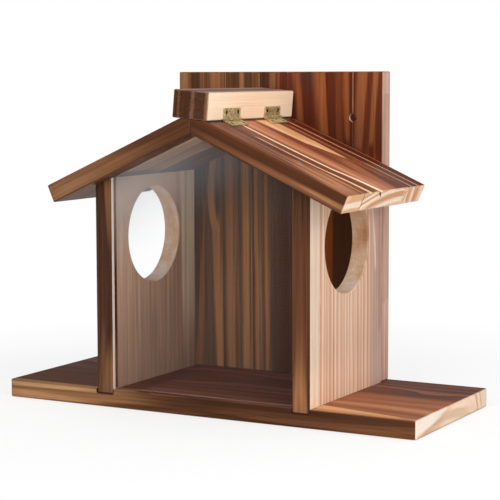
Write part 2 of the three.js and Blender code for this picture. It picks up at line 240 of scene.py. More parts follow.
def scaled(colour, factor):
    """Colour made brighter or darker by a factor."""
    tree = tree_of(colour, factor)
    node = tree.nodes.new("ShaderNodeVectorMath")
    node.operation = "SCALE"
    feed(tree, node.inputs[0], colour)
    feed(tree, node.inputs["Scale"], factor)
    return Wire(tree, node.outputs[0])


def coordinates(tree, kind="Object", scale=MM):
    """The three parts of a place or a normal, each multiplied by a scale."""
    texture = tree.nodes.new("ShaderNodeTexCoord")
    split = tree.nodes.new("ShaderNodeSeparateXYZ")
    tree.links.new(texture.outputs[kind], split.inputs[0])
    return [Wire(tree, output) * scale for output in split.outputs]


def new_material(name):
    material = bpy.data.materials.new(name)
    material.use_nodes = True
    tree = material.node_tree
    tree.nodes.clear()
    return material, tree


def finish_shader(tree, colour, roughness, height, depth, metallic=0.0, specular=0.5, alpha=None):
    """Surface from its colour, roughness and height, with the even values on the shader itself."""
    shader = tree.nodes.new("ShaderNodeBsdfPrincipled")
    shader.inputs["Metallic"].default_value = metallic
    shader.inputs["Specular IOR Level"].default_value = specular
    feed(tree, shader.inputs["Base Color"], colour)
    feed(tree, shader.inputs["Roughness"], roughness)
    if alpha is not None:
        feed(tree, shader.inputs["Alpha"], alpha)
    bump = tree.nodes.new("ShaderNodeBump")
    bump.inputs["Strength"].default_value = 1.0
    bump.inputs["Distance"].default_value = depth
    feed(tree, bump.inputs["Height"], height)
    tree.links.new(bump.outputs[0], shader.inputs["Normal"])
    output = tree.nodes.new("ShaderNodeOutputMaterial")
    tree.links.new(shader.outputs[0], output.inputs[0])


# Wood

class Grain:
    """Solid grain of one board: growth rings round a pith line, fibres and edge wear.

    Its coordinates are millimetres: a along the grain, c across the board and o out of its face.
    """

    def __init__(self, tree, axes, origin, extent, pith, ring, drift, seed):
        self.tree = tree
        self.seed = seed
        texture = tree.nodes.new("ShaderNodeTexCoord")
        self.a, self.c, self.o = (self.along(texture.outputs["Object"], axis, origin, MM) for axis in axes)
        self.normals = [self.along(texture.outputs["Normal"], axis, ORIGIN, 1.0) for axis in axes]
        # Slow fields bend the rings, a ripple frays them and noise over their count makes them uneven
        self.ripple = self.field(34, 9, 2.0, number=2)
        across = self.c + self.field(210, 120) * drift - pith[0]
        out = self.o + self.field(120, 60, number=1) * drift * 0.7 - pith[1]
        radius = distance(across, out) + self.ripple * (ring * 0.16)
        phase = radius / ring
        phase = phase + noise(phase / 2.3, phase / 9.0, 0.0, 1.0, seed=seed + 3) * 1.9
        white = tree.nodes.new("ShaderNodeTexWhiteNoise")
        white.noise_dimensions = "1D"
        feed(tree, white.inputs["W"], phase.math("FLOOR") + seed)
        lot = Wire(tree, white.outputs["Value"])
        # The tone falls across each ring and jumps back at its edge, where a thin pale line stands
        share = phase.math("FRACT")
        fall = share.step(0.06, 0.98, smooth=False)
        line = share.step(0.0, 0.05).inverse().most(share.step(0.965, 1.0))
        self.rings = (fall - 0.5) * (lot * -0.65 - 0.35)
        self.lines = line * lot.step(0.35, 0.9)
        self.cloud = self.field(260, 26, 2.0, number=4)
        self.streaks = self.field(110, 2.1, 3.0, 0.62, number=5)
        self.fibre = self.field(44, 0.95, 2.0, 0.6, number=6)
        self.hatch = self.field(0.9, 14, number=7)
        self.edge = self.edge_distance(extent)

    def field(self, along, across, detail=1.0, roughness=0.5, number=0):
        """Noise about 0 with its wave lengths along the grain and across it, one for each number."""
        place = (self.a / along, self.c / across, self.o / across)
        return noise(*place, detail, roughness, seed=self.seed + number)

    def along(self, socket, axis, origin, scale):
        """Coordinate of a vector socket along an axis, counted from an origin."""
        node = self.tree.nodes.new("ShaderNodeVectorMath")
        node.operation = "DOT_PRODUCT"
        self.tree.links.new(socket, node.inputs[0])
        node.inputs[1].default_value = axis * scale
        return Wire(self.tree, node.outputs["Value"]) - axis.dot(origin) * scale

    def edge_distance(self, extent):
        """Distance to the nearest arris of the board's box."""
        sides = zip((self.a, self.c, self.o), extent)
        near = [(place - low).least(-place + high) for place, (low, high) in sides]
        return near[0].least(near[1]).most(near[0].most(near[1]).least(near[2]))

    def facing(self, direction, least=0.6):
        """Mask of the faces that look along a, c or o, or one way only with + or - before it.

        A low least takes in their arrises too.
        """
        normal = self.normals["aco".index(direction[-1])]
        if direction[0] == "-":
            normal = -normal
        elif direction[0] != "+":
            normal = abs(normal)
        return normal.step(least, least + 0.2)

    def round_hole(self, across, along, radius, start, end):
        """Places across and along from a hole's middle, and the mask of its inside, soft at its rim."""
        across, along = self.c - across * MM, self.a - along * MM
        rim = radius * MM
        return across, along, distance(across, along).step(rim + start, rim + end).inverse()

    def tone(self, level, rings=0.3, lines=0.25, cloud=0.35, streaks=0.22, fibre=0.12, hatch=0.0):
        """Tone of a face, 0 dark to 1 pale, before streaks are laid."""
        tone = self.rings * rings + self.lines * lines + self.cloud * cloud + level
        tone = tone + self.streaks * streaks + self.fibre * fibre
        return tone + self.hatch * hatch if hatch else tone

    def face(self, colours, level, along="a", across="c", waver=0.8, **shares):
        """Face in the colours of a palette."""
        return Face(self, ramp(self.tone(level, **shares), colours), along, across, waver)


STREAK_VALUES = [
    "Start", "Across", "Per length", "Slope", "Bow", "Half", "Half change", "Soft below", "Soft above",
    "Blur", "Share",
]


def pair(value):
    """A pair as it is, or one value twice."""
    return value if isinstance(value, tuple) else (value, value)


def streak_values(colour, start, end, half, soft=1, share=0.6, cut=4, bow=0):
    """Linear colour of a streak and its values, in the order of their names."""
    (a0, c0), (a1, c1) = start, end
    length = a1 - a0
    half0, half1 = pair(half)
    place = (a0, c0, 1 / length, c1 - c0, 4 * bow)
    return srgb(colour), (*place, half0, half1 - half0, *pair(soft), cut / abs(length), share)


def new_group(name, colours, numbers):
    """Empty node group with its named inputs and one output, Colour."""
    group = bpy.data.node_groups.new(name, "ShaderNodeTree")
    for kind, names in (("NodeSocketColor", colours), ("NodeSocketFloat", numbers)):
        for socket in names:
            group.interface.new_socket(socket, in_out="INPUT", socket_type=kind)
    group.interface.new_socket("Colour", in_out="OUTPUT", socket_type="NodeSocketColor")
    return group


def streak_group():
    """Node group that lays one streak, soft at its sides and its ends."""
    colours, numbers = ["Under", "Streak"], ["Run", "Offset", "Grain", *STREAK_VALUES]
    group = new_group("streak", colours, numbers)
    inside = group.nodes.new("NodeGroupInput")
    outside = group.nodes.new("NodeGroupOutput")
    at = {name: Wire(group, inside.outputs[name]) for name in colours + numbers}
    run = (at["Run"] - at["Start"]) * at["Per length"]
    offset = at["Offset"] - (run * at["Slope"] + at["Across"] + run * run.inverse() * at["Bow"])
    half = run.clamped() * at["Half change"] + at["Half"]
    below = (offset + half).step(-at["Soft below"], 0.0)
    above = (offset - half).step(0.0, at["Soft above"]).inverse()
    ends = run.step(-at["Blur"], at["Blur"]) * run.step(at["Blur"].inverse(), at["Blur"] + 1.0).inverse()
    # The grain frays the streak
    mask = below * above * ends * (at["Grain"] * 0.8 + 1.0) * at["Share"]
    laid = mix(at["Under"], at["Streak"], mask.clamped())
    group.links.new(laid.socket, outside.inputs["Colour"])
    return group


class Face:
    """Colour of one face, on which streaks are laid; along and across name two grain coordinates."""

    def __init__(self, grain, colour, along="a", across="c", waver=0.8):
        self.grain = grain
        self.colour = colour
        self.along = getattr(grain, along)
        self.across = getattr(grain, across) + grain.ripple * waver

    def lay(self, *streaks):
        """Lays streaks, in millimetres, each between two (along, across) places, in one node group.

        A streak is its colour, the two places, half its width there, the softness of its sides, and
        where they aren't the common ones its share, the soft length of its ends and its bow. A width
        or softness is a pair, or one number for both.
        """
        shared = {"Run": self.along, "Offset": self.across, "Grain": self.grain.streaks}
        group = new_group("streaks", ["Under"], shared)
        inside = group.nodes.new("NodeGroupInput")
        laid = inside.outputs["Under"]
        for row in streaks:
            colour, values = streak_values(*row)
            streak = group.nodes.new("ShaderNodeGroup")
            streak.node_tree = STREAK
            group.links.new(laid, streak.inputs["Under"])
            streak.inputs["Streak"].default_value = colour
            for name in shared:
                group.links.new(inside.outputs[name], streak.inputs[name])
            for name, value in zip(STREAK_VALUES, values):
                streak.inputs[name].default_value = value
            laid = streak.outputs[0]
        group.links.new(laid, group.nodes.new("NodeGroupOutput").inputs[0])
        tree = self.grain.tree
        node = tree.nodes.new("ShaderNodeGroup")
        node.node_tree = group
        for name, wire in {"Under": self.colour, **shared}.items():
            feed(tree, node.inputs[name], wire)
        self.colour = Wire(tree, node.outputs[0])

    def shade(self, fibre=0.4, streaks=0.34):
        """Lays the fine fibres over the streaks."""
        return scaled(self.colour, self.grain.fibre * fibre + self.grain.streaks * streaks + 1.0)


STREAK = streak_group()


def slope(angle, side=1):
    """Directions down a slope, to the right or with side -1 to the left, and square out of it."""
    sine, cosine = math.sin(angle), math.cos(angle)
    return Vector((side * cosine, 0, -sine)), Vector((side * sine, 0, cosine))


def board_axes(kind):
    """Directions along the grain, across the board and out of its face."""
    right_down, right_out = slope(PITCH)
    left_down, left_out = slope(PITCH, -1)
    lid_across, lid_out = slope(LID_TILT)
    return {
        "flat": (X, Y, Z),
        "wall": (Z, Y, X),
        "back": (Z, X, -Y),
        "right_slope": (right_down, Y, right_out),
        "left_slope": (left_down, Y, left_out),
        "lid": (Y, lid_across, lid_out),
    }[kind]


def wood(node, kind, origin, paint, pith, ring, drift, seed):
    """Wood material of one node; paint turns its grain into a colour and says how matt it is."""
    material, tree = new_material(node + "_finish")
    axes = board_axes(kind)
    points = [vertex.co - origin for vertex in frame["nodes"][node].data.vertices]
    extent = []
    for axis in axes:
        places = [axis.dot(point) * MM for point in points]
        extent.append((min(places), max(places)))
    grain = Grain(tree, axes, origin, extent, pith, ring, drift, seed)
    colour, matt = paint(grain)
    # The arrises are rubbed pale in patches
    patches = grain.field(9, 4, 3.0, number=9).step(-0.08, 0.18)
    wear = grain.edge.step(0.25, 1.1).inverse() * patches
    colour = mix(colour, scaled(colour, 1.7), wear * 0.4)
    roughness = (grain.streaks * 0.25 + grain.fibre * 0.3 + matt + wear * 0.1).clamped()
    height = grain.rings * 0.35 + grain.lines * 0.3 + grain.streaks * 0.4 + grain.fibre * 0.35
    finish_shader(tree, colour, roughness, height, WOOD_RELIEF, specular=WOOD_GLOSS)
    return material


def tinted(colour, grain, warm="fff4e2", cool="f6ebe6"):
    """Slow drift of a colour between a warm and a cool cast."""
    cast = ramp(grain.field(300, 40, number=8) + 0.5, [(0.3, cool), (0.7, warm)])
    return mix(colour, cast, 1.0, "MULTIPLY")


# Paints of the boards

def paint_base(grain):
    plum = ramp(grain.tone(0.4, rings=0.3, lines=0.12, cloud=0.4, streaks=0.34), PLUM)
    top = Face(grain, tinted(plum, grain))
    top.lay(
        ("542906", (-188, -44), (-60, -44), 34, (4, 30), 0.88),
        ("6e4d38", (-188, 6), (-120, -8), (1, 0.5), (4, 1), 0.7, 4, 6),
        ("674531", (-188, -14), (-135, -8), (0.8, 0.5), (3, 1), 0.6, 4, -5),
        ("9d7450", (-188, -71.5), (-60, -71.5), (1.8, 1.4), (1.5, 1), 0.7),
        ("b06d46", (97, -26), (188, -38), (26, 34), (16, 18), 0.65),
        ("d2966c", (95, -36), (188, -44), (1, 3), 6, 0.5, 4, 3),
        ("8b4f34", (97, -26), (188, -28), (0.6, 1.6), (2.5, 1.6), 0.6, 4, 2),
        ("8b4f34", (97, -10), (188, -8), (0.8, 1.8), (2.5, 2.6), 0.6, 4, -2),
        ("e3a676", (95, -59), (170, -70), (6, 0.6), (3, 2.4), 0.9),
        ("c58a61", (95, -70.5), (188, -71.5), (1.8, 1.4), (2, 1), 0.8),
        ("7a432e", (97, -48), (188, -58), (0.6, 1.6), (2, 1.6), 0.6, 4, 2),
    )
    front = grain.face(UMBER, 0.38, "a", "o", rings=0.2, cloud=0.3, streaks=0.42)
    front.lay(
        ("a0734c", (-190, 8), (-60, 10), (9, 4), (3, 6), 0.6, 40),
        ("c29a6d", (-190, 11.8), (-100, 12.6), (1.2, 0.6), (1.8, 1.2), 0.65, 26),
        ("7e5335", (-190, 8.6), (-90, 9.4), (0.5, 0.4), (1.2, 1), 0.55, 26),
        ("b98a60", (-190, 4), (-110, 3.4), (3, 0.8), 1.6, 0.6, 26),
        ("3f2212", (-30, 7), (190, 7), 9, 4, 0.66, 50),
        ("341a0b", (-10, 12.6), (120, 12), (1.5, 1), 2, 0.6, 26),
        ("70452a", (30, 5.4), (190, 7.5), (0.8, 1.6), (1.6, 2), 0.7, 30, -2.6),
        ("7d4d2d", (126, 2.2), (190, 2.4), (0.8, 1.6), 2, 0.6, 30),
    )
    # Painted shade round each wall's foot in its slot: dark lines up the slot's sides and along its floor,
    # fainter at the right foot
    for foot, share in ((-WALL_MIDDLE, 0.9), (WALL_MIDDLE, 0.45)):
        ring = Face(grain, front.colour, "o", "a", waver=0.0)
        near, far = foot - FOOT_SHADE_REACH, foot + FOOT_SHADE_REACH
        ring.lay(
            ("230e07", (DADO_FLOOR, near), (BASE_TOP, near), 0.5, (0.7, 0.2), share, 0.8),
            ("230e07", (DADO_FLOOR, far), (BASE_TOP, far), 0.5, (0.2, 0.7), share, 0.8),
        )
        front = Face(grain, ring.colour, across="o", waver=0.0)
        front.lay(("230e07", (near, DADO_FLOOR), (far, DADO_FLOOR), 0.4, (0.7, 0.2), share, 0.8))
    colour = mix(top.shade(0.5, 0.4), front.shade(0.55, 0.5), grain.facing("-c"))
    ends = grain.face(CREAM, 0.42, "c", "o", rings=0.14, lines=0, cloud=0.24, streaks=0.1, fibre=0.2)
    ends.lay(
        ("efe3d6", (-84, 9), (-20, 12), (6, 2), 4, 0.85, 14),
        ("bf8f68", (-66, 0), (-14, 8), (1.6, 2.8), 3, 0.75, 18, -1),
        ("e2cdb6", (-44, 1), (10, 3), (1.6, 2.2), 3, 0.6, 18),
        ("cba585", (-24, 9), (34, 4), (1.8, 2.4), 3, 0.6, 18),
        # Painted shade: a darker line along the bottom edge, where the board meets the floor
        ("b08560", (-88, 0.5), (75, 0.5), 0.4, (0.4, 0.9)),
    )
    ends = Face(grain, ends.colour, "o", "c")
    ends.lay(
        ("c09a80", (-1, 53.5), (16, 47), 0.9, (1.2, 2), 0.8),
        ("c5a087", (-1, 62), (16, 56), (0.8, 0.9), (1, 2), 0.8),
        ("dcc4b2", (-1, 68), (16, 66), (5, 6), (3, 2), 0.8),
        ("f9d9bf", (-1, -73), (16, -73), 0.8, 1, 0.8),
    )
    # Faces across the grain: the board's sawn ends, and the sides of the walls' slots, which are painted
    # dark as painted shade
    cut = grain.facing("a")
    outermost = abs(grain.a).step(WALL_MIDDLE + 20, WALL_MIDDLE + 40)
    colour = mix(colour, srgb("2b130a"), cut * outermost.inverse())
    cut = cut * outermost
    return mix(colour, ends.shade(0.14, 0.1), cut), cut * 0.14 + 0.46


ROOF_FRONT_STREAKS = [
    ("cb8a62", (84, -71), (150, -70), (2, 16), (10, 8), 0.8, 26),
    ("8f5a41", (16, -74), (110, -72), (6, 5), 6, 0.5, 26),
    ("93583e", (20, -85.4), (150, -85.2), (0.6, 0.7), (0.5, 1.5), 0.8),
    ("b27a5c", (24, -81), (120, -79), (0.3, 0.4), 0.8, 0.65),
    ("5a3024", (24, -76.5), (130, -74), (0.5, 0.6), (1.4, 1)),
    ("a66d52", (30, -72.5), (140, -69.5), (0.3, 0.5), (0.8, 1)),
    ("4e2b22", (24, -68), (90, -63), (1.4, 0.6), (3, 2), 0.5),
    ("63382a", (60, -64.5), (150, -63), (0.5, 1.2), 1.4, 0.65),
    ("f3bf9c", (46, -58.4), (66, -56.8), (0.4, 0.8), (0.4, 1), 0.85),
    # Two small dents, painted: pale marks, with a painted shadow along the first
    ("4a2418", (86, -68.4), (93, -64.4), 0.5, 0.5, 0.8, 1.5),
    ("e0ac88", (86.5, -67.4), (92.5, -63.6), 0.4, 0.4, 0.85, 1.5),
    ("e0ac88", (93, -70.5), (97, -67.5), 0.4, 0.4, 0.8, 1.2),
]

ROOF_MIDDLE_STREAKS = [
    ("7c4a34", (20, -51), (150, -52), (5, 7), 2, 0.8),
    ("74422c", (60, -49), (150, -38), (3.2, 3.6), 2, 0.85, 4, -1.5),
    ("c98560", (14, -32), (150, -17), (7, 5), (4, 12), 0.75),
    ("bf7353", (16, -30), (80, -24), (6, 3), (4, 8)),
    ("a8603f", (20, -27), (130, -13), (0.5, 0.8), (1.2, 1.4)),
    ("dc9d78", (24, -34), (140, -21), (0.4, 0.8), (1, 1.2)),
    ("b56c4a", (30, -20), (140, -8), (0.4, 0.8), (1.2, 1.4)),
    ("7b3f2e", (26, -10), (138, 6), (1, 4), (10, 5), 0.85, 4, -6),
    ("5c3a33", (112, 12), (150, 13), (1, 8), (8, 3), 0.8, 12),
    ("a9694a", (96, 4), (150, -4), (5, 4), 6, 0.6, 10),
    ("f0b68e", (48, -57.6), (118, -50.6), (0.6, 0.9), (0.5, 1), 0.95, 4, -1.6),
    ("f7c8a2", (112, -51), (150, -46), (0.9, 2), (0.6, 1.2), 0.95, 4, 0.9),
    ("fcd9bb", (22, -45.4), (112, -37.4), (0.9, 1), (0.7, 2), 1, 4, -1.2),
    ("ffe2c2", (108, -37.8), (150, -26.6), (1, 2.2), (0.7, 2.2), 1, 4, 1.4),
    ("dfa374", (12, 0), (64, 7.6), (13, 9), 1, 0.95, 2),
    ("e6ac7c", (60, 7.4), (92, 14.6), (9.4, 0.4), 1, 0.95, 2),
    ("cf9560", (26, 5), (66, 9.6), (2.5, 1), 3),
    ("f0c298", (20, -5), (70, 3), 0.6, (1.2, 1.6)),
    ("eba985", (50, 14.6), (92, 15.2), (0.8, 0.5), (2, 0.8), 0.7),
    ("6a2c16", (24, 20.4), (96, 20.8), (1.6, 1), (1, 2.5), 0.85),
]

ROOF_REAR_STREAKS = [
    ("5c2413", (20, 33), (110, 35), (3.2, 3.4), 2, 0.8),
    ("6e4a38", (104, 33), (150, 36), (5, 6), 4, 0.6, 14),
    ("a3684e", (32, 26.6), (112, 28.6), (0.9, 1), 0.8, 0.85),
    ("a58873", (104, 29), (150, 32), (1.2, 1.6), (1.2, 1.4), 0.8),
    ("cc8a70", (24, 36), (84, 41.2), (1.3, 0.8), (0.8, 1), 0.95),
    ("c0937a", (78, 40.8), (150, 45.2), (0.8, 1), (0.8, 1.2), 0.9, 4, 0.6),
    ("9a6048", (20, 52.4), (150, 60), (0.7, 0.9), (0.8, 1), 0.85),
    ("54210f", (20, 47), (110, 50), (2.2, 2), 2, 0.7),
]

# Palette, level and streaks of each stave; the streaks are laid on the right panel only
ROOF_STAVES = {
    "front": (PLUM, 0.4, ROOF_FRONT_STREAKS),
    "middle": (SCORCHED, 0.5, ROOF_MIDDLE_STREAKS),
    "rear": (RUSSET, 0.34, ROOF_REAR_STREAKS),
}


def paint_roof(grain, place, side):
    """Paint of a roof stave: front, middle or rear, on the left or right panel."""
    colours, level, streaks = ROOF_STAVES[place]
    top = grain.face(colours, level, rings=0.22, lines=0.14, cloud=0.3, hatch=0.04)
    if side == "right":
        top.lay(*streaks)
    # Painted shade: a dark line at the foot of the lid's seat
    seat = Face(grain, top.colour, "c", "a")
    seat.lay(("2c150c", (-90, 17.2), (60, 17.2), 1, (0.5, 1.6), 0.85))
    colour = seat.shade(0.55, 0.42)
    # Inside the chamber the underside is painted paler, most towards the front: painted light that falls in
    # through the pane
    in_chamber = grain.a.step(82, 92).inverse() * grain.c.step(-72, -66)
    paler = in_chamber * (grain.c.step(-70, 30).inverse() * 0.47 + 0.06)
    below = ramp(grain.tone(0.4, rings=0.3, cloud=0.3, streaks=0.4) + paler, UMBER)
    below = scaled(below, grain.fibre * 0.5 + 0.9)
    colour = mix(colour, below, grain.facing("-o"))
    if place == "front":
        colour = mix(colour, roof_front(grain, side), grain.facing("-c"))
    cut = grain.facing("+a")
    return mix(colour, eave_end(grain, place), cut), cut * 0.14 + 0.42


def roof_front(grain, side):
    """Front edge of the front stave; along is counted down the slope, out from 0 at the top."""
    face = grain.face(UMBER, 0.34, "a", "o", waver=0.3, rings=0.04, lines=0, cloud=0.2, streaks=0.4)
    if side == "right":
        face.lay(
            ("4f2710", (0, -4), (150, -4), (4, 4.2), (1, 2.5), 0.7, 1),
            ("6a3a1d", (0, -1.2), (150, -1.2), 0.4, 0.8, 0.6, 1),
            ("3c210f", (0, -11), (44, -9), (3, 1), (2, 3), 0.6, 16),
            ("74452a", (14, -10.6), (100, -11.2), (0.8, 1.6), (2.4, 2), 0.65, 16),
            ("86553a", (60, -11.4), (150, -11), (1.2, 2.2), (2.4, 1.6), 0.65, 20),
            ("a8754c", (108, -10.4), (150, -10.4), (0.3, 1.2), (1.2, 1.4), 0.6, 16),
        )
    else:
        face.lay(
            ("855b3d", (60, -8), (150, -8), (7, 8), 3, 0.65, 44),
            ("9e7653", (112, -9), (150, -9), (3, 5), 3, 0.5, 24),
            ("6b4429", (100, -5), (150, -5), (0.5, 0.6), 1.2, 0.5, 24),
            ("4a2a18", (0, -3), (70, -2), (3, 1.5), 4, 0.6, 26),
        )
    face.lay(("351a0e", (0, -14.8), (150, -14.8), 0.5, (0.8, 0.5), 0.7, 2))
    return face.shade(0.55, 0.4)


def eave_end(grain, place):
    """Sawn end of a roof stave, with its growth rings seen end on."""
    face = grain.face(RAW, 0.55, "c", "o", rings=0.3, lines=0.12, cloud=0.2, streaks=0.05, fibre=0.16)
    if place == "front":
        face.lay(
            ("e2b083", (-84, -3.4), (-56, -3.6), (2.6, 2.4), 1, 0.85),
            ("ffeed8", (-88, -9), (-56, -8.6), (1.8, 2.2), 1, 0.9),
            ("e3b68c", (-78, -13), (-58, -13), (1, 1.4), (1.2, 1), 0.8),
            ("f4cdb0", (-88, -2), (-80, -2), (2, 1), (1, 2), 0.8),
        )
    if place == "middle":
        face.lay(
            ("c9987a", (-58, -5), (-38, 0), (1.2, 0.8), 1, 0.7),
            ("ffe9cb", (-58, -7.6), (-32, 0.2), (0.8, 0.9), (0.8, 1.2), 0.95),
            ("d39f80", (-58, -10.4), (-29, -2.6), (0.9, 1.2), (1.2, 1), 0.85),
            ("ffeed6", (-58, -13), (-22, -3), (1, 0.9), (0.8, 1.2), 0.95, 4, 0.4),
            ("ffe9cf", (-24, -3.4), (18, -0.9), (0.8, 0.9), 0.8, 0.95, 4, 0.9),
            ("cf9a70", (-44, -13.2), (20, -4.6), (1, 1.8), (1.4, 1.2), 0.9, 4, 2.2),
            ("fdf0dc", (-26, -14), (20, -9.6), (0.6, 1.6), 1, 0.9, 4, 0.8),
            ("3a2012", (-30.5, 0.6), (-25.5, -4.4), (1.9, 0.5), 0.7, 1, 0.8),
        )
    if place == "rear":
        face = Face(grain, face.colour, "o", "c")
        face.lay(
            ("cf9c74", (0, 29), (-15, 33), (2.4, 2), 1.2, 0.85),
            ("ffe8ce", (0, 25), (-15, 28), (0.9, 1.2), 0.8, 0.8),
            ("ffe8ce", (0, 36), (-15, 40), (1.2, 1.4), 0.8, 0.8),
            ("c48f66", (0, 43.6), (-15, 46), (3.4, 2.4), 1.5, 0.8),
            ("fbe0c4", (0, 54), (-15, 56), 2.4, 1.2, 0.7),
        )
    joint = Face(grain, face.colour, "o", "c", waver=0.0)
    joint.lay(
        ("8d5f45", (1, -57.2), (-16, -57), 0.35, (0.5, 0.4), 0.9),
        ("a8795a", (1, 25.4), (-16, 25.6), 0.3, 0.4, 0.7),
    )
    return tinted(joint.shade(0.14, 0.06), grain, "f5efe9", "f1ebe6")


BACK_LEFT_STREAKS = [
    ("a57850", (290, -92), (90, -90), (2.6, 2.4), (3, 2.4)),
    ("3f2517", (290, -82), (170, -81), (2.8, 2.5), (2.5, 3)),
    ("7c5136", (290, -73), (150, -74), 1.2, (2.5, 1.5)),
    ("9c6d46", (290, -61), (236, -60), (3, 2.8), (5, 2.5)),
    ("4c2d1d", (290, -42), (236, -42), 2.6, (2.5, 3)),
    ("a3714b", (290, -35), (236, -35), 0.9, (2.4, 2), 0.65),
    ("553320", (290, -28), (236, -28), 2.6, (2.5, 3)),
]

BACK_MIDDLE_STREAKS = [
    ("4a2e20", (290, -12), (236, -12), 6, (2, 5)),
    ("91613d", (290, -5), (236, -5), 1.6, (3, 2.4), 0.65),
    ("8a5a3a", (290, 0.5), (236, 0.5), 0.5, 1.6, 0.55),
    ("54261a", (290, 10), (215, 12), (5, 4), 5, 0.55),
    ("9a5733", (290, 16.5), (226, 23.5), (2, 0.8), (6, 2), 0.7),
    ("52200f", (290, 27), (205, 31), (4, 5), (4, 7)),
    ("4c3426", (292, 31), (258, 31), (10, 8), 6, 0.5, 16),
    ("a35d35", (290, 39), (212, 46), (3, 1), (9, 2), 0.7),
    ("50200f", (290, 48), (200, 52), 2.2, (3, 4)),
    ("844626", (290, 56), (200, 58), (1, 0.8), (4, 2.4)),
    ("9a5731", (290, 63), (215, 65.5), (1.4, 0.6), (4, 2), 0.65),
    ("451d0e", (290, 68.4), (200, 68.4), 0.4, (1.6, 0.5)),
]

BACK_RIGHT_STREAKS = [
    ("4a230d", (290, 72.5), (205, 72), (2.2, 1.8), (1, 3), 0.75),
    ("9a5c36", (290, 80), (208, 75.5), (3.2, 1.4), (4.5, 2.4), 0.7),
    ("5c2c17", (290, 87.4), (208, 81.4), (0.6, 1), (2, 2.4), 0.65),
    ("a2663e", (290, 92.2), (212, 86.8), (1.4, 0.8), (2.4, 2), 0.65),
    ("552815", (290, 96.5), (205, 93.5), (0.8, 2.2), (2.4, 1.6), 0.65),
]

INDOOR_STREAKS = [
    ("4a3a31", (230, -74), (10, -74), 10, (6, 8), 0.5),
    ("ac7a52", (205, -61), (170, -65.5), (1.9, 2.4), (1.6, 2.6), 0.85, 4, -1.5),
    ("ac7a52", (174, -65.6), (136, -61), (2.4, 2.6), (1.6, 2.2), 0.85, 4, -1.8),
    ("3e322b", (174, -58.6), (148, -58.6), 1.4, 1.6, 0.7, 10),
    ("a4704a", (140, -61.2), (10, -57), (2.6, 2), (1.8, 2.4), 0.8, 2),
    ("8f5d3d", (160, -72), (10, -79), (0.2, 2.6), (1, 2), 0.7, 2),
    ("9c6c4a", (212, -48), (10, -45), (2.4, 2.2), 2.2, 0.8, 2),
    ("a87448", (205, -31.5), (10, -30), (2, 1.7), (1.8, 2.2), 0.85, 2),
    ("a06b46", (200, -21.5), (10, -19.5), (0.9, 0.8), (1, 1.4), 0.85, 2),
    ("33261d", (200, -24.6), (10, -23), 0.7, 0.8, 0.6, 2),
    ("33261d", (205, -37.6), (10, -36), 0.8, 1.2, 0.5, 2),
    ("33261d", (205, -54.2), (10, -51.8), 0.9, 1.2, 0.5, 2),
    ("a06a44", (198, -12.5), (10, -9.5), (0.7, 0.6), (1.2, 1.6), 0.8, 2),
    ("33261d", (215, -2), (10, -2), 4, 3, 0.5, 2),
    ("42200a", (215, 45), (10, 45), 38, (14, 10), 0.85, 2),
    ("8a4615", (215, 47.2), (10, 47.2), 2.6, (3, 3.4), 0.8, 2),
    # A painted reflection of the pane: a grey veil over the top left
    ("625750", (232, -30), (150, -30), 46, (20, 30), 0.3, 30),
]

# Palette, level, streaks and glue joints of each stave
BACK_STAVES = {
    "left": (UMBER, 0.42, BACK_LEFT_STREAKS, BACK_JOINTS[:1]),
    "middle": (RUSSET, 0.36, BACK_MIDDLE_STREAKS, BACK_JOINTS),
    "right": (RUSSET, 0.42, BACK_RIGHT_STREAKS, BACK_JOINTS[1:]),
}


def paint_back(grain, place):
    """Paint of a stave of the back board: left, middle or right."""
    colours, level, streaks, joints = BACK_STAVES[place]
    face = grain.face(colours, level, rings=0.16, lines=0.05, cloud=0.34, streaks=0.5)
    front = Face(grain, face.colour)
    front.lay(*streaks)
    lit = grain.a.step(BACK_SHADE_LOW, BACK_SHADE_HIGH) * 0.34 + 0.7
    outdoors = Face(grain, scaled(front.colour, lit), waver=0.0)
    for joint in joints:
        outdoors.lay(
            ("c39c7c", (290, joint), (HANG_Z + 4, joint), 0.1, 0.3, 0.7, 2),
            ("5a301d", (HANG_Z - 4, joint), (190, joint), 0.3, 0.3, 0.8, 2),
        )
    if place == "left":
        outdoors.lay(("b08a6c", (290, -51), (236, -50.8), 0.1, 0.4))
    indoors = grain.face(DUSK, 0.59, rings=0.14, lines=0.03, cloud=0.3, streaks=0.46)
    indoors.lay(*INDOOR_STREAKS)
    under_roof = grain.a + abs(grain.c) * math.tan(PITCH)
    under_roof = under_roof.step(ROOF_LINE - 10, ROOF_LINE - 6).inverse()
    colour = mix(outdoors.shade(0.5, 0.46), indoors.shade(0.44, 0.4), under_roof)
    colour = mix(face.shade(), colour, grain.facing("+o"))
    side = grain.facing("c")
    cut = grain.facing("a")
    rose = grain.face(ROSE, 0.52, rings=0.12, lines=0, cloud=0.2, streaks=0.5)
    colour = mix(colour, rose.shade(), side)
    ends = ramp(grain.tone(0.5, rings=0.4, cloud=0.3), UMBER)
    colour = mix(colour, ends, cut)
    for centre in HANG_CENTRES:
        across, along, inside = grain.round_hole(centre.x, centre.z, HANG_RADIUS, 0.05, 0.3)
        # A painted highlight on one side of the bore's rim
        depth = -(grain.o + BACK_FACE * MM)
        pale = depth.step(0.1, 0.5) * depth.step(1.4, 3.0).inverse() * across.step(-1.5, 0.5).inverse()
        bore = mix(srgb("8a4418"), srgb("f4d0ae"), pale)
        colour = mix(colour, bore, inside)
    return colour, side * 0.1 + under_roof * 0.3 + 0.5


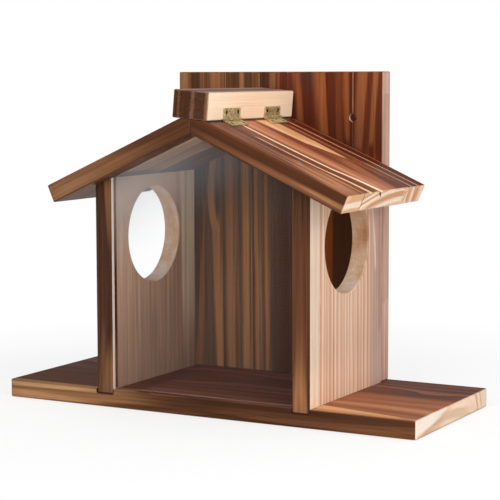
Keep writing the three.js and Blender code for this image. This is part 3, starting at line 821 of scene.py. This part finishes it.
def paint_wall(grain, side, front_stave):
    """Paint of a wall's narrow front stave or of its wide one."""
    inside = "+o" if side == "left" else "-o"
    if front_stave:
        outer = grain.face(CREAM, 0.52, rings=0.24, lines=0.2, cloud=0.2, streaks=0.3)
        outer.lay(
            ("dcbfb2", (190, -64), (90, -62.5), (1.6, 1), 2, 0.6, 34),
            ("d0a184", (190, -57.2), (10, -57.2), 0.2, (1, 0.6), 0.5),
        )
    else:
        tone = grain.tone(0.5, rings=0.62, lines=0.8, cloud=0.24, streaks=0.3)
        outer = Face(grain, ramp(tone - (grain.c + 44).step(60, 100) * 0.12, RAW))
        outer.lay(
            ("b89a90", (190, 54), (10, 56), (12, 14), (10, 4), 0.7),
            ("a87868", (190, 53), (60, 55), (1.2, 1.6), 3, 0.5),
        )
        if side == "right":
            outer.lay(("ecd2bd", (176, 35.5), (112, 46), (0.3, 1), (1, 1.6), 0.8, 4, 2))
    # Painted light: the inside is painted paler with its height, and near-white just under the roof
    height = grain.a.step(40, 175) * 0.22 + 0.2
    inner = ramp(grain.tone(0.0, rings=0.1, lines=0.03, cloud=0.2, streaks=0.34) + height, FAWN)
    inner = Face(grain, mix(inner, srgb("ffdcb8"), grain.a.step(146, 186) * 0.9))
    inner.lay(
        ("fff2d2", (190, 47), (80, 48), (10, 9), (4, 3), 0.9, 60),
        ("b98f74", (190, 44), (40, 42), 0.8, 2, 0.4),
        ("b88a70", (190, 30), (40, 30), (1, 1.4), 4, 0.3),
    )
    # The strip in front of the pane
    lip = (grain.c + LIP * MM).step(-0.4, 0.0).inverse()
    colour = mix(inner.shade(0.16, 0.16), srgb("e9dccf"), lip * 0.85)
    # Painted light: the outer face is painted brighter near its top, under the eave, and near its foot than
    # in the middle
    painted_light_by_height = grain.a.step(120, 160) * 0.22 + grain.a.step(20, 60).inverse() * 0.2 + 0.86
    colour = mix(scaled(outer.shade(0.2, 0.18), painted_light_by_height), colour, grain.facing(inside))
    edge = grain.face(UMBER, 0.27, "a", "o", waver=0.5, rings=0.06, cloud=0.2, streaks=0.4)
    if side == "left":
        edge.lay(
            ("70492f", (5, 3.5), (70, 8), (2, 0.4), (3, 2), 0.6, 14),
            ("865b3c", (3, 11), (46, 12.5), (4.5, 2), (3, 1), 0.7, 18),
            ("8a5f3e", (136, 13.2), (190, 11.6), (0.8, 2.6), (2, 1), 0.7, 12),
            ("462318", (60, 10), (160, 12), 2, (4, 3), 0.5, 24),
            ("4d3022", (10, 1.2), (170, 1.2), 0.8, (1, 1.4), 0.5, 24),
        )
    else:
        edge.lay(
            ("ae754e", (0, -8), (56, -8), (4.5, 2), 4, 0.75, 34),
            ("6f4128", (50, -7), (150, -7), 5, 4, 0.5, 34),
            ("53311b", (40, -4.4), (190, -4.4), 0.7, 1.2, 0.45, 30),
            ("3f2415", (0, -0.8), (190, -0.8), 0.4, (1, 0.5), 0.5),
            ("8d6549", (0, -14.6), (190, -14.6), 0.3, (0.4, 0.5)),
        )
    # Painted shadow: a dark line at the foot of the front edge, where the wall goes into the base
    foot = grain.a.step(WALL_FOOT * MM + 0.3, WALL_FOOT * MM + 1.4).inverse()
    edge_colour = mix(edge.shade(0.55, 0.46), srgb("2a120a"), foot * 0.9)
    front_edge = grain.facing("-c", 0.2)
    return mix(colour, edge_colour, front_edge), front_edge * -0.06 + 0.56


def paint_bored_wall(grain, side, level):
    """A wide wall stave, with the sawn inside of its round entry in a buff, painted paler below as painted
    light.
    """
    colour, matt = paint_wall(grain, side, False)
    across, along, inside = grain.round_hole(ENTRY_CENTRE.y, ENTRY_CENTRE.z, ENTRY_RADIUS, 0.5, 0.9)
    blotch = grain.field(20, 15, 4.0, 0.6, number=11)
    saw = grain.field(1.6, 9, 2.0, number=12)
    low = along.step(-34, -16).inverse()
    sawn = ramp(blotch + grain.fibre * 0.3 + saw * 0.16 + low * 0.12 + level, BUFF)
    return mix(colour, sawn, inside), matt


def paint_lid(grain):
    top = grain.face(ROSE, 0.24, rings=0.16, lines=0, cloud=0.3, streaks=0.5)
    top.lay(
        ("5f4a45", (-74, -1), (74, -1), (3, 2.6), 4, 0.7),
        ("9d7b6a", (-74, -11), (20, -11), (2, 0.8), 4),
        ("a98c7b", (-74, 13.6), (74, 13.6), 0.6, (1.6, 1), 0.7),
    )
    side = grain.face(PEACH, 0.58, "o", "a", rings=0.02, lines=0, cloud=0.1, streaks=0.2, hatch=0.16)
    side.lay(
        ("fff0d2", (-14, -54), (14, -58), (8, 6), 26, 0.35),
        ("fad3ac", (-14, 2), (14, 6), 2, 30, 0.3),
    )
    # Painted shade: a dark line along the foot of each side, where the lid sits on the roof
    foot = (grain.o + LID_HALF * MM).step(0.1, 0.9).inverse()
    side_colour = mix(side.shade(0.12, 0.1), srgb("4a2a18"), foot * 0.8)
    end = grain.face(UMBER, 0.27, "o", "c", rings=0.08, lines=0, cloud=0.2, streaks=0.4)
    end.lay(
        ("70472f", (-14, -10.2), (14, -11), (0.4, 0.3), 1.4, 0.65),
        ("42230f", (-14, -5), (14, -5), 2.6, 2.5, 0.55),
        ("7a533e", (-14, 1.6), (14, 2), (0.7, 0.6), 1.8, 0.7),
        ("50301c", (-14, 8), (14, 8), 2.4, 2.4, 0.55),
        ("846044", (-14, 14.4), (14, 14.2), 0.8, (1.6, 1), 0.7),
    )
    colour = mix(top.shade(), side_colour, grain.facing("c"))
    cut = grain.facing("a")
    return mix(colour, end.shade(0.45, 0.4), cut), cut * -0.05 + 0.52


# Metal and acrylic

def metal(name, stops, roughness, speckle, depth):
    """Aged metal: mottled colour, speckles and fine scratches."""
    material, tree = new_material(name)
    x, y, z = coordinates(tree)
    mottle = noise(x / 2.6, y / 2.6, z / 2.6, 4.0, 0.6, seed=1)
    grit = noise(x / speckle, y / speckle, z / speckle, 2.0, 0.6, seed=2)
    scratch = noise(x / 3.0, y / 0.14, z / 0.3, 2.0, 0.6, seed=3)
    tone = mottle * 0.9 + grit * 1.1 + scratch * 0.25 + 0.5
    rough = (mottle * 0.35 + grit * 0.3 + roughness).clamped()
    finish_shader(tree, ramp(tone, stops), rough, tone, depth, metallic=0.85)
    return material


def acrylic(name):
    """Clear sheet with a painted reflection, a faint blue-grey veil that thickens towards the gable, and
    polished edges.
    """
    material, tree = new_material(name)
    x, y, z = coordinates(tree)
    face = abs(coordinates(tree, "Normal", 1.0)[1]).step(0.6, 0.9)
    smear = noise(x / 60, y / 60, z / 90, 3.0, 0.5, seed=4)
    wipe = noise((x + z) / 40, y / 40, (z - x) / 4, 2.0, 0.5, seed=5)
    rise = (z - x * 0.6).step(150, 250)
    # The faces carry a painted reflection, blue-grey, that grows towards the gable; the polished edges are
    # pale and half clear
    reflection_and_edge_alpha = (rise * (smear * 0.32 - x * 0.0009 + 0.23) + 0.012) * face + face.inverse() * 0.55
    colour = mix(srgb("a9abb2"), srgb("efe6dd"), face.inverse())
    rough = (smear * 0.08 + wipe * 0.05 + 0.1).clamped()
    finish_shader(tree, colour, rough, smear * 0.1, 0.00001, specular=0.12, alpha=reflection_and_edge_alpha.clamped())
    return material


# Pieces

def body_of_node(node):
    return frame["nodes"][node]["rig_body"]


def clean_copy(node):
    """Mesh of a CAD node with its coplanar triangles joined."""
    shape = bmesh.new()
    shape.from_mesh(frame["nodes"][node].data)
    bmesh.ops.remove_doubles(shape, verts=shape.verts, dist=CLEAN_WITHIN)
    bmesh.ops.dissolve_limit(shape, angle_limit=FLAT_WITHIN, verts=shape.verts, edges=shape.edges)
    bmesh.ops.recalc_face_normals(shape, faces=shape.faces)
    return shape


def new_object(name, data):
    """Object linked into the scene."""
    item = bpy.data.objects.new(name, data)
    bpy.context.scene.collection.objects.link(item)
    return item


def piece_of(shape, name, materials):
    """Object of a built shape, which is freed."""
    mesh = bpy.data.meshes.new(name)
    shape.to_mesh(mesh)
    shape.free()
    for material in materials:
        mesh.materials.append(material)
    return new_object(name, mesh)


def finish_piece(piece, node):
    """Evens the piece's normals and puts it in the place of its CAD node."""
    mesh = piece.data
    mesh.polygons.foreach_set("use_smooth", [True] * len(mesh.polygons))
    mesh.set_sharp_from_angle(angle=SMOOTH_WITHIN)
    weighted = piece.modifiers.new("even normals", "WEIGHTED_NORMAL")
    weighted.keep_sharp = True
    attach(piece, body_of_node(node))
    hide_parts(node)


def dress(node, material, soften=0.00025, sharp=38):
    """Piece that stands for a CAD node, with its arrises rounded."""
    shape = clean_copy(node)
    turn = math.radians(sharp)
    edges = [edge for edge in shape.edges if edge.is_manifold and edge.calc_face_angle(0) > turn]
    bmesh.ops.bevel(
        shape, geom=edges, offset=soften, offset_type="OFFSET", segments=2, profile=0.5, affect="EDGES",
        clamp_overlap=True,
    )
    finish_piece(piece_of(shape, node + "_dressed", [material]), node)


def boards():
    base = wood("base_board", "flat", ORIGIN, paint_base, (12, -46), 9, 26, seed=2)
    dress("base_board", base)
    for side, sign, buff in (("left", -1, 0.74), ("right", 1, 0.6)):
        centre = Vector((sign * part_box("right_side_wall")[1].x, 0, 0))
        wide = f"{side}_side_wall"
        narrow = wide + "_front_stave"
        paint = partial(paint_wall, side=side, front_stave=True)
        dress(narrow, wood(narrow, "wall", centre, paint, (60, 10), 5, 8, seed=12 + sign), GLUED_EDGE)
        paint = partial(paint_bored_wall, side=side, level=buff)
        dress(wide, wood(wide, "wall", centre, paint, (230, -40), 6.2, 5, seed=15 + sign), GLUED_EDGE)
    for place, seed in (("left", 21), ("middle", 24), ("right", 27)):
        name = f"back_board_{place}_stave"
        paint = partial(paint_back, place=place)
        dress(name, wood(name, "back", ORIGIN, paint, (-200, -60), 11, 12, seed), GLUED_EDGE)
    for side, seed in (("right", 31), ("left", 41)):
        for place, pith in (("front", (-74, -120)), ("middle", (15, -200)), ("rear", (190, -40))):
            name = f"{side}_roof_{place}_stave"
            paint = partial(paint_roof, place=place, side=side)
            dress(name, wood(name, side + "_slope", RIDGE, paint, pith, 6, 6, seed=seed + len(place)))
    dress("ridge_lid", wood("ridge_lid", "lid", LID_MIDDLE, paint_lid, (90, -8), 8, 4, seed=51))


def pane():
    dress("front_pane", acrylic("front_pane_acrylic"), soften=0.0003, sharp=50)


# The head's rim, each point as a share of its radius and of its land, and the reach of its recess
RIM_SHARES = [(0.995, 1), (0.985, 0.35), (0.94, 0)]
LAND_SHARE = 0.12
RECESS_SHARE = 0.62


def screw_profile(node):
    """Tip, axis and head radius of a CAD screw, and its profile as (radius, height) from the tip."""
    points = [vertex.co for vertex in frame["nodes"][node].data.vertices]
    middle = sum(points, Vector()) / len(points)
    tip = max(points, key=lambda point: (point - middle).length)
    axis = (middle - tip).normalized()
    heights = [axis.dot(point - tip) for point in points]
    spreads = [(point - tip - axis * height).length for point, height in zip(points, heights)]
    top, head_radius = max(heights), max(spreads)
    # The shank ends where the head's cone starts, and has its full radius above the point's taper
    rings = list(zip(heights, spreads))
    head_low = max(height for height, spread in rings if spread < head_radius * 0.7 and height < top - 1e-5)
    shank_radius = max(spread for height, spread in rings if height <= head_low + CLEAN_WITHIN)
    point_high = min(height for height, spread in rings if spread > shank_radius * 0.9)
    land = (top - head_low) * LAND_SHARE
    rim = [(head_radius * share, top - land * drop) for share, drop in RIM_SHARES]
    profile = [(0, 0), (shank_radius, point_high), (shank_radius, head_low), *rim, (0, top)]
    return tip, axis, head_radius, profile


def screw(node, material, recess_shade_material, slot_width, slot_depth, sides=32):
    """Countersunk screw with a cross recess, turned round the axis of the CAD screw."""
    tip, axis, head_radius, profile = screw_profile(node)
    side = axis.orthogonal().normalized()
    other = axis.cross(side)
    turns = [math.tau * i / sides for i in range(sides)]
    spots = [side * math.cos(turn) + other * math.sin(turn) for turn in turns]
    shape = bmesh.new()
    rows = []
    for radius, height in profile:
        centre = tip + axis * height
        if radius == 0:
            rows.append([shape.verts.new(centre)] * sides)
        else:
            rows.append([shape.verts.new(centre + spot * radius) for spot in spots])
    for low, high in zip(rows, rows[1:]):
        for i in range(sides):
            after = (i + 1) % sides
            shape.faces.new(list(dict.fromkeys((low[i], low[after], high[after], high[i]))))
    bmesh.ops.recalc_face_normals(shape, faces=shape.faces)
    piece = piece_of(shape, node + "_dressed", [material, recess_shade_material])
    turn = Matrix((side, other, axis)).transposed().to_4x4()
    head_top = Matrix.Translation(tip + axis * profile[-1][1]) @ turn
    size = Matrix.Diagonal((head_radius * RECESS_SHARE * 2, slot_width, slot_depth * 2, 1))
    cutter_shape = bmesh.new()
    for quarter in (0, math.pi / 2):
        place = head_top @ Matrix.Rotation(quarter, 4, "Z") @ size
        bmesh.ops.create_cube(cutter_shape, size=1, matrix=place)
    # The recess's faces take the second material, which is painted shade
    for face in cutter_shape.faces:
        face.material_index = 1
    carve(piece, piece_of(cutter_shape, node + "_cutter", [material, recess_shade_material]))
    finish_piece(piece, node)


def carve(piece, cutter):
    """Cuts one piece out of another and drops the cutter."""
    modifier = piece.modifiers.new("recess", "BOOLEAN")
    modifier.object = cutter
    modifier.operation = "DIFFERENCE"
    modifier.solver = "EXACT"
    modifier.use_self = True
    bpy.context.view_layer.update()
    carved = bpy.data.meshes.new_from_object(piece.evaluated_get(bpy.context.evaluated_depsgraph_get()))
    piece.modifiers.clear()
    piece.data = carved
    bpy.data.objects.remove(cutter)


# Each metal's colour stops, roughness, speckle size and depth
METALS = {
    "aged_brass": (
        [(0.15, "7a6440"), (0.36, "b89f70"), (0.56, "e6d09c"), (0.85, "fff3d0")], 0.55, 0.9, 0.0001,
    ),
    # The recesses are painted dark: painted shade in the cross of each head
    "brass_recess_shade": ([(0.2, "17130c"), (0.6, "2b2417"), (0.9, "4a4029")], 0.7, 0.6, 0.00003),
    "brass_head": ([(0.2, "4c4630"), (0.5, "75694a"), (0.85, "a59a74")], 0.46, 0.6, 0.00003),
    "zinc": ([(0.1, "8f9294"), (0.5, "b7babc"), (0.9, "d9dbdc")], 0.36, 0.5, 0.00003),
    "zinc_recess_shade": ([(0.1, "3a3c3d"), (0.9, "5b5d5e")], 0.5, 0.5, 0.00003),
}


def hardware():
    finish = {name: metal(name + "_finish", *values) for name, values in METALS.items()}
    for node in sorted(frame["nodes"]):
        if node.startswith("screw_"):
            screw(node, finish["zinc"], finish["zinc_recess_shade"], slot_width=0.001, slot_depth=0.0011)
        elif "_screw_" in node:
            screw(node, finish["brass_head"], finish["brass_recess_shade"], slot_width=0.0007, slot_depth=0.0005)
        elif "hinge" in node:
            dress(node, finish["aged_brass"], soften=0.00008, sharp=50)


# Camera, fitted to the photograph's edges and corners, on a frame of 500 by 500 pixels

FRAME_PIXELS = 500
FOCAL_PIXELS = 1685.82
SENSOR = 36.0
CAMERA_YAW = math.radians(28.64)
CAMERA_FALL = math.radians(5.94)
CAMERA_ROLL = math.radians(-0.12)
CAMERA_DISTANCE = 1.38397
CAMERA_TARGET = Vector((0.00513, 0, 0.12636))


def towards(azimuth, elevation):
    """Direction from the box to a place round it."""
    flat = math.cos(elevation)
    return Vector((math.sin(azimuth) * flat, -math.cos(azimuth) * flat, math.sin(elevation)))


def camera():
    data = bpy.data.cameras.new("camera")
    data.sensor_width = SENSOR
    data.lens = FOCAL_PIXELS / FRAME_PIXELS * SENSOR
    item = new_object("camera", data)
    back = towards(CAMERA_YAW, CAMERA_FALL)
    right = Vector((math.cos(CAMERA_YAW), math.sin(CAMERA_YAW), 0))
    up = back.cross(right)
    turned_right = right * math.cos(CAMERA_ROLL) + up * math.sin(CAMERA_ROLL)
    turned_up = back.cross(turned_right)
    place = CAMERA_TARGET + back * CAMERA_DISTANCE
    rotation = Matrix((turned_right, turned_up, back)).transposed().to_4x4()
    item.matrix_world = Matrix.Translation(place) @ rotation
    bpy.context.scene.camera = item


# Studio

FLOOR_RADIUS = 3.0
FLOOR_DROP = 0.0003
FLOOR_FADE = (0.2, 0.55)  # the floor goes over into plain white between these distances
FLOOR_GLOW = 0.65  # share of white in the floor near the box
PAPER_WAVES = 400  # for each metre
WORLD_LEVEL = 0.55  # level of the world as a light
GLOSS_CUT = 0.25  # how much darker the world is in a gloss
# Each lamp's azimuth, elevation, distance, size and level
LAMPS = {
    "key": (72, 32, 2.2, 1.3, 0.42),
    "front": (8, 24, 2.4, 1.4, 0.34),
    "sky": (20, 82, 2.2, 1.6, 0.18),
}


def softbox(name, azimuth, elevation, distance, size, level):
    """Square lamp that gives a white face turned to it the level given."""
    data = bpy.data.lights.new(name, "AREA")
    data.shape = "SQUARE"
    data.size = size
    data.energy = level * math.pi**2 * distance**2
    item = new_object(name, data)
    direction = towards(math.radians(azimuth), math.radians(elevation))
    item.location = CAMERA_TARGET + direction * distance
    item.rotation_euler = direction.to_track_quat("Z", "Y").to_euler()


def seen_by_camera(tree):
    """1 for what the camera sees directly or through the pane."""
    path = tree.nodes.new("ShaderNodeLightPath")
    return Wire(tree, path.outputs["Is Camera Ray"]).most(Wire(tree, path.outputs["Is Transmission Ray"]))


def world_light():
    """Even white light, which the camera sees as white."""
    world = bpy.data.worlds.new("studio")
    bpy.context.scene.world = world
    world.use_nodes = True
    tree = world.node_tree
    tree.nodes.clear()
    background = tree.nodes.new("ShaderNodeBackground")
    output = tree.nodes.new("ShaderNodeOutputWorld")
    tree.links.new(background.outputs[0], output.inputs[0])
    background.inputs["Color"].default_value = (1.0, 1.0, 1.0, 1.0)
    gloss = Wire(tree, tree.nodes.new("ShaderNodeLightPath").outputs["Is Glossy Ray"])
    level = seen_by_camera(tree) * (1 - WORLD_LEVEL) + WORLD_LEVEL
    feed(tree, background.inputs["Strength"], level - gloss * GLOSS_CUT)


def floor_paper():
    """Pale paper that fades into the white of the world away from the box and keeps its shadow."""
    material, tree = new_material("floor_paper")
    x, y, z = coordinates(tree, scale=1.0)
    diffuse = tree.nodes.new("ShaderNodeBsdfDiffuse")
    paper = noise(x * PAPER_WAVES, y * PAPER_WAVES, z) + 0.5
    feed(tree, diffuse.inputs["Color"], ramp(paper, [(0.0, "f4f4f4"), (1.0, "fbfbfb")]))
    glow = tree.nodes.new("ShaderNodeEmission")
    glow.inputs["Strength"].default_value = 1.0
    blend = tree.nodes.new("ShaderNodeMixShader")
    glowing = distance(x, y).step(*FLOOR_FADE) * (1 - FLOOR_GLOW) + FLOOR_GLOW
    feed(tree, blend.inputs[0], glowing * seen_by_camera(tree))
    output = tree.nodes.new("ShaderNodeOutputMaterial")
    for source, target in ((diffuse, blend.inputs[1]), (glow, blend.inputs[2]), (blend, output.inputs[0])):
        tree.links.new(source.outputs[0], target)
    return material


def studio():
    world_light()
    shape = bmesh.new()
    bmesh.ops.create_circle(shape, cap_ends=True, segments=96, radius=FLOOR_RADIUS)
    floor = piece_of(shape, "floor", [floor_paper()])
    floor.location.z = -FLOOR_DROP
    for name, values in LAMPS.items():
        softbox(name, *values)


camera()
boards()
pane()
hardware()
studio()
bpy.context.scene.view_settings.view_transform = "Standard"
